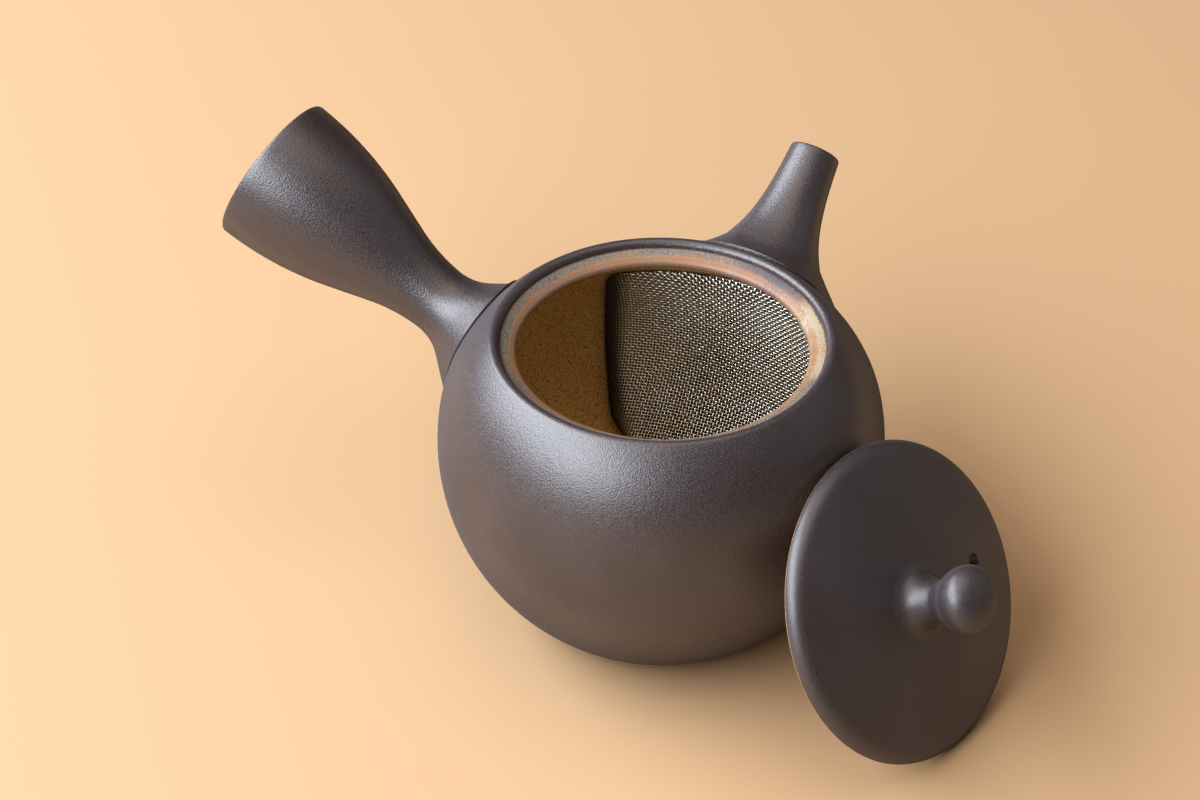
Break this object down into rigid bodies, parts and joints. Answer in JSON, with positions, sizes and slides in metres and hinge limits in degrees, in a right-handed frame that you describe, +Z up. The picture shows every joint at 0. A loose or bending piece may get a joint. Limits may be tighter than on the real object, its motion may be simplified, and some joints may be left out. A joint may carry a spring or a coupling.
{
  "type": "teapot",
  "caption": "Side-handled Japanese teapot in matte charcoal stoneware with a woven steel strainer inside and its domed lid leant on the pot",
  "frame": {"origin": "centre of the flat foot, on the table", "axes": "+X towards the spout, +Y towards the handle, +Z up"},
  "size_m": [0.1319, 0.2052, 0.0996],
  "materials": {
    "fired_clay": "unglazed reduction-fired stoneware, burnished to a soft sheen",
    "woven_steel": "plain-woven stainless wire"
  },
  "bodies": {
    "pot": {"pot_body": "fired_clay", "spout": "fired_clay", "handle": "fired_clay", "strainer": "woven_steel"},
    "lid": {"lid": "fired_clay", "knob": "fired_clay"}
  },
  "joints": [
    {"name": "lid_lift", "type": "slide", "parent": "pot", "child": "lid", "axis": [-0.1422, -0.8498, 0.5075], "range_m": [0, 0.08]}
  ]
}
